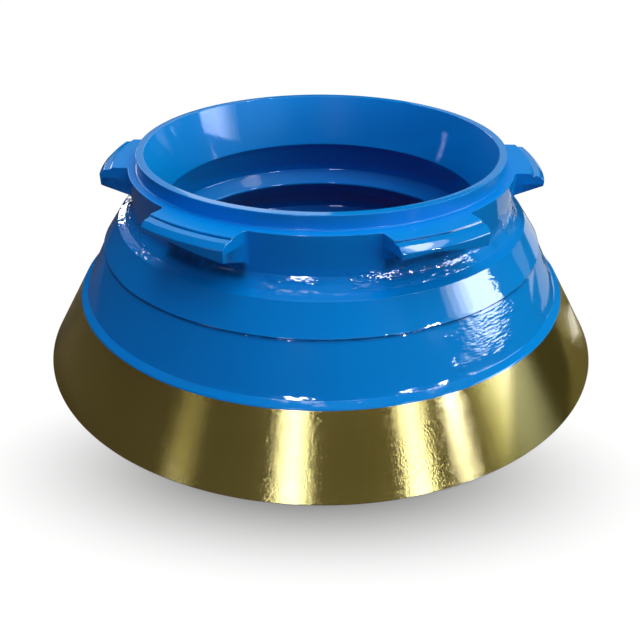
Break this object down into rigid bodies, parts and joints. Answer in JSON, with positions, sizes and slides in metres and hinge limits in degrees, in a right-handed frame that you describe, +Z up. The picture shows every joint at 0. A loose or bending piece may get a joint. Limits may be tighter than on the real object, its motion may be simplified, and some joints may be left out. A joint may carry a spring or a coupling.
{
  "type": "cone crusher concave",
  "caption": "Ring-shaped cast liner that hangs in a cone crusher's bowl: turned conical seats outside, wedge hooks round the neck and a stepped chamber inside.",
  "frame": {"origin": "on the axis of the crusher, in the plane of the bottom face", "axes": "+Z up along the crusher's axis, out through the mouth; +X through the middle of one hook"},
  "size_m": [1.1998, 1.2, 0.421],
  "materials": {
    "liner_paint": "gloss paint on cast manganese steel, the lower seat left bare and oiled"
  },
  "bodies": {
    "root": {"concave": "liner_paint"}
  },
  "joints": []
}
